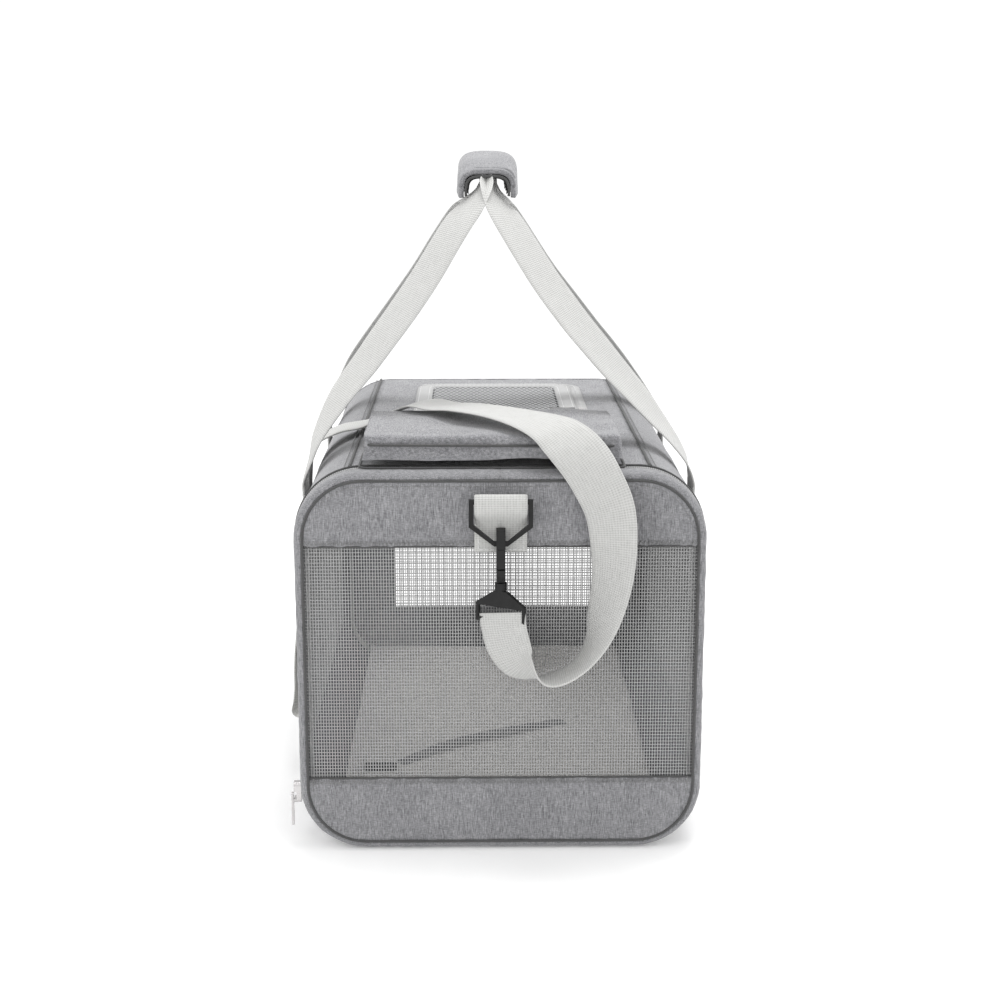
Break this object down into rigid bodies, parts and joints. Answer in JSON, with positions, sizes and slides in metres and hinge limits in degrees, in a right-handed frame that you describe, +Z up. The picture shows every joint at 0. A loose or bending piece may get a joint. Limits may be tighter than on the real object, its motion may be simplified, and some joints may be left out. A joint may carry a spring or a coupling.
{
  "type": "pet transport carrier",
  "caption": "Soft-sided pet carrier with a zipped mesh door, mesh windows, roof pocket, zipped roof flap, twin webbing handles and a hooked shoulder strap.",
  "frame": {"origin": "centre of the base face, on the surface that the carrier stands on", "axes": "+X across the width, +Y from the door end to the rear end, +Z up"},
  "size_m": [0.3253, 0.5308, 0.51],
  "materials": {
    "heather_fabric": "heather grey woven polyester with fine streaks",
    "webbing": "pale grey ribbed polypropylene webbing",
    "mesh": "coated open grid mesh",
    "piping": "dark grey corded piping",
    "zip_tape": "woven zip tape with coil teeth",
    "nickel": "nickel plated die casting",
    "steel_wire": "sprung steel wire",
    "black_plastic": "moulded acetal, fine matt grain",
    "board": "stiff sheet",
    "mat_fabric": "warm grey quilted pile",
    "binding": "pale grey grosgrain binding"
  },
  "bodies": {
    "root": {"base_board": "board", "body_zip_tape": "zip_tape", "bottom_panel": "heather_fabric", "comfort_mat": "mat_fabric", "flap_zip_tape": "zip_tape", "grip_wrap": "heather_fabric", "handle_tops": "webbing", "left_front_post": "heather_fabric", "left_handle_front_leg": "webbing", "left_handle_rear_leg": "webbing", "left_lower_band": "heather_fabric", "left_rear_post": "heather_fabric", "left_shoulder": "heather_fabric", "left_side_mesh": "mesh", "rear_d_ring": "black_plastic", "rear_hook_base": "black_plastic", "rear_mesh": "mesh", "rear_panel": "heather_fabric", "rear_piping": "piping", "rear_ring_tab": "webbing", "rear_snap_hook": "black_plastic", "right_front_post": "heather_fabric", "right_handle_front_leg": "webbing", "right_handle_rear_leg": "webbing", "right_lower_band": "heather_fabric", "right_rear_post": "heather_fabric", "right_shoulder": "heather_fabric", "right_side_mesh": "mesh", "roof_pocket": "heather_fabric", "safety_tether": "webbing", "side_webbing": "webbing", "sill_gusset": "heather_fabric", "sill_panel": "heather_fabric", "sill_piping": "piping", "strap_rear": "webbing", "strap_side": "webbing", "strap_top": "webbing", "tether_clip": "black_plastic", "top_panel": "heather_fabric", "wire_hoops": "steel_wire"},
    "front_door": {"door_gusset": "heather_fabric", "door_lower_band": "heather_fabric", "door_mesh": "mesh", "door_piping": "piping", "door_upper_band": "heather_fabric", "door_zip_tape": "zip_tape", "front_d_ring": "black_plastic", "front_ring_tab": "webbing", "front_snap_hook": "black_plastic", "front_hook_base": "black_plastic", "strap_front": "webbing"},
    "front_gate": {"front_hook_gate": "black_plastic"},
    "rear_gate": {"rear_hook_gate": "black_plastic"},
    "door_slider": {"door_zip_slider": "nickel"},
    "door_pull": {"door_zip_pull": "nickel"},
    "roof_flap": {"flap_binding": "binding", "flap_mesh": "mesh"},
    "flap_slider": {"flap_zip_slider": "nickel"},
    "flap_pull": {"flap_zip_pull": "nickel"},
    "grip_flap": {"grip_flap": "heather_fabric"}
  },
  "joints": [
    {"name": "door_hinge", "type": "hinge", "parent": "root", "child": "front_door", "pos_m": [0, -0.227, 0.036], "axis": [1, 0, 0], "range_deg": [0, 90]},
    {"name": "front_gate_spring", "type": "hinge", "parent": "front_door", "child": "front_gate", "pos_m": [0, -0.2407, 0.2233], "axis": [-1, 0, 0], "range_deg": [0, 18], "stiffness_Nm_per_rad": 0.01, "springref_deg": -22.92},
    {"name": "rear_gate_spring", "type": "hinge", "parent": "root", "child": "rear_gate", "pos_m": [0, 0.2407, 0.2233], "axis": [1, 0, 0], "range_deg": [0, 18], "stiffness_Nm_per_rad": 0.01, "springref_deg": -22.92},
    {"name": "door_zip_slide", "type": "slide", "parent": "root", "child": "door_slider", "axis": [0, 0, 1], "range_m": [0, 0.185]},
    {"name": "door_pull_hinge", "type": "hinge", "parent": "door_slider", "child": "door_pull", "pos_m": [-0.1574, -0.2075, 0.0382], "axis": [0, 1, 0], "range_deg": [0, 150]},
    {"name": "flap_hinge", "type": "hinge", "parent": "root", "child": "roof_flap", "pos_m": [-0.072, 0.066, 0.2913], "axis": [0, -1, 0], "range_deg": [0, 70]},
    {"name": "flap_zip_slide", "type": "slide", "parent": "root", "child": "flap_slider", "axis": [0, 1, 0], "range_m": [0, 0.18]},
    {"name": "flap_pull_hinge", "type": "hinge", "parent": "flap_slider", "child": "flap_pull", "pos_m": [0.0711, -0.0312, 0.29885], "axis": [1, 0, 0], "range_deg": [0, 150]},
    {"name": "grip_flap_hinge", "type": "hinge", "parent": "root", "child": "grip_flap", "pos_m": [-0.027, 0, 0.5086], "axis": [0, -1, 0], "range_deg": [0, 110]}
  ]
}
